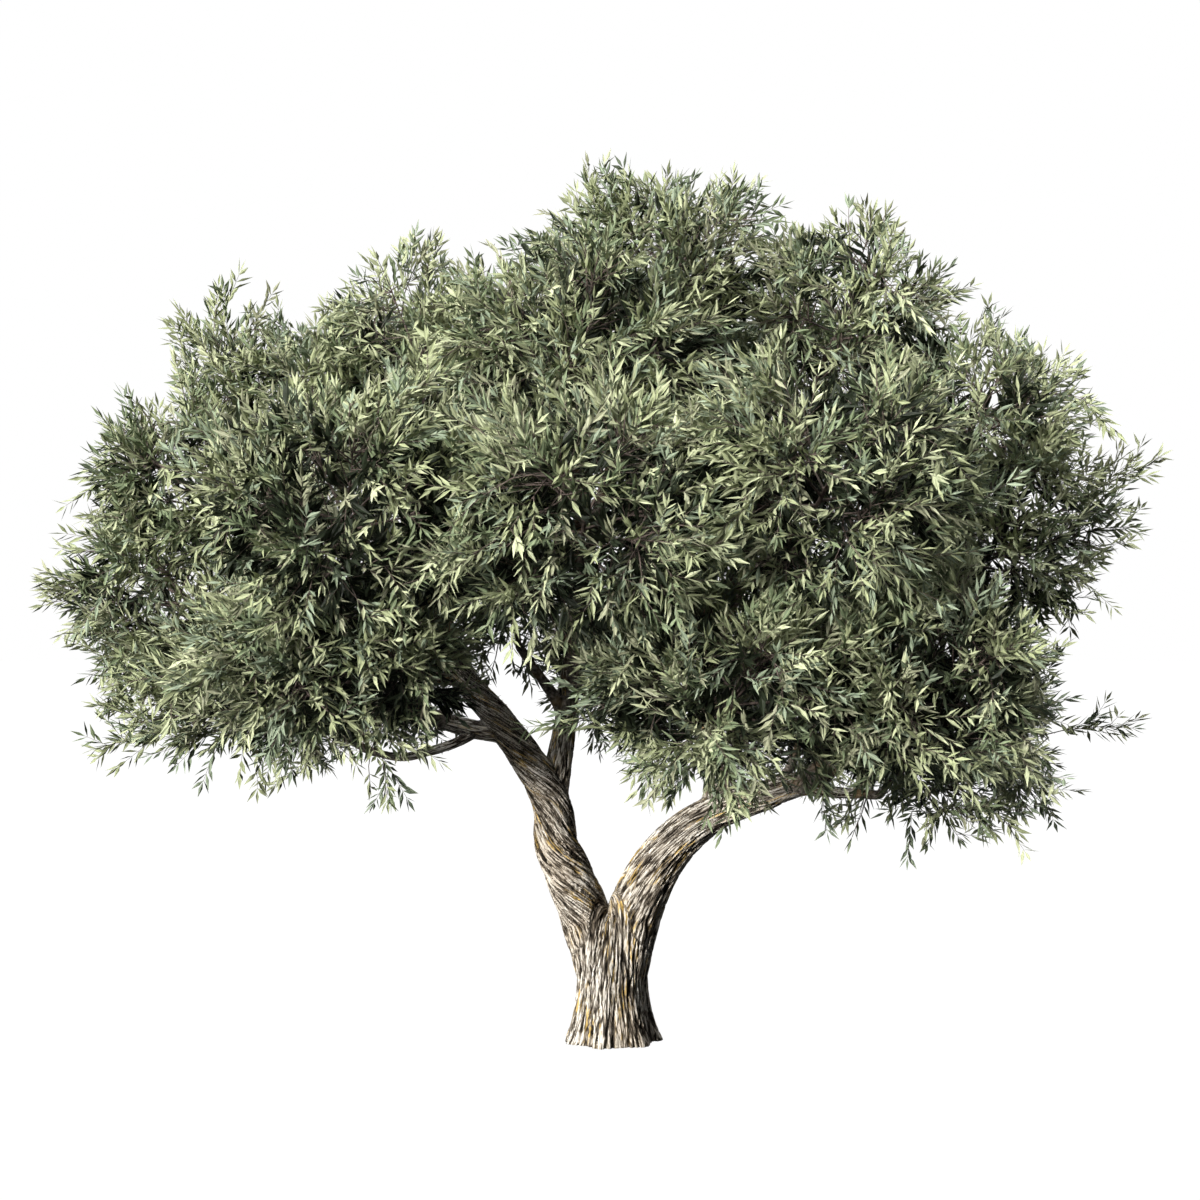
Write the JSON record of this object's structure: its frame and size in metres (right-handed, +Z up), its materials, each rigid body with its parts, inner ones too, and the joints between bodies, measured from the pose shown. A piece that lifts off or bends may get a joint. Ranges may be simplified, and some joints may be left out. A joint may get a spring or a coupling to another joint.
{
  "type": "olive tree",
  "caption": "Spreading olive tree with a short fluted trunk that forks low, tapering boughs and a broad domed crown of foliage masses, rooted at a flat cut.",
  "frame": {"origin": "centre of the flat cut under the trunk, at ground level", "axes": "+X along the crown's longest spread, -Y towards the front, +Z up"},
  "size_m": [4.9781, 3.8254, 3.88],
  "materials": {
    "bark": "deeply furrowed grey bark, matt",
    "foliage": "grey-green leaves, slightly waxy"
  },
  "bodies": {
    "root": {"trunk": "bark", "left_bough": "bark", "right_bough": "bark", "left_upright": "bark", "left_low_bough": "bark", "left_drooping_bough": "bark", "left_side_bough": "bark", "left_high_bough": "bark", "left_front_bough": "bark", "left_front_low_bough": "bark", "left_back_bough": "bark", "left_back_low_bough": "bark", "left_back_high_bough": "bark", "left_inner_bough": "bark", "centre_front_bough": "bark", "centre_front_high_bough": "bark", "centre_back_bough": "bark", "centre_back_high_bough": "bark", "right_upright": "bark", "right_low_bough": "bark", "right_inner_bough": "bark", "right_front_bough": "bark", "right_front_low_bough": "bark", "right_back_high_bough": "bark", "right_high_bough": "bark", "right_low_front_bough": "bark", "right_back_bough": "bark", "right_back_low_bough": "bark", "centre_back_low_bough": "bark", "left_foliage": "foliage", "right_foliage": "foliage", "left_upright_foliage": "foliage", "left_low_foliage": "foliage", "left_drooping_foliage": "foliage", "left_side_foliage": "foliage", "left_high_foliage": "foliage", "left_front_foliage": "foliage", "left_front_low_foliage": "foliage", "left_back_foliage": "foliage", "left_back_low_foliage": "foliage", "left_back_high_foliage": "foliage", "left_inner_foliage": "foliage", "centre_front_foliage": "foliage", "centre_front_high_foliage": "foliage", "centre_back_foliage": "foliage", "centre_back_high_foliage": "foliage", "right_upright_foliage": "foliage", "right_low_foliage": "foliage", "right_inner_foliage": "foliage", "right_front_foliage": "foliage", "right_front_low_foliage": "foliage", "right_back_high_foliage": "foliage", "right_high_foliage": "foliage", "right_low_front_foliage": "foliage", "right_back_foliage": "foliage", "right_back_low_foliage": "foliage", "centre_back_low_foliage": "foliage"}
  },
  "joints": []
}
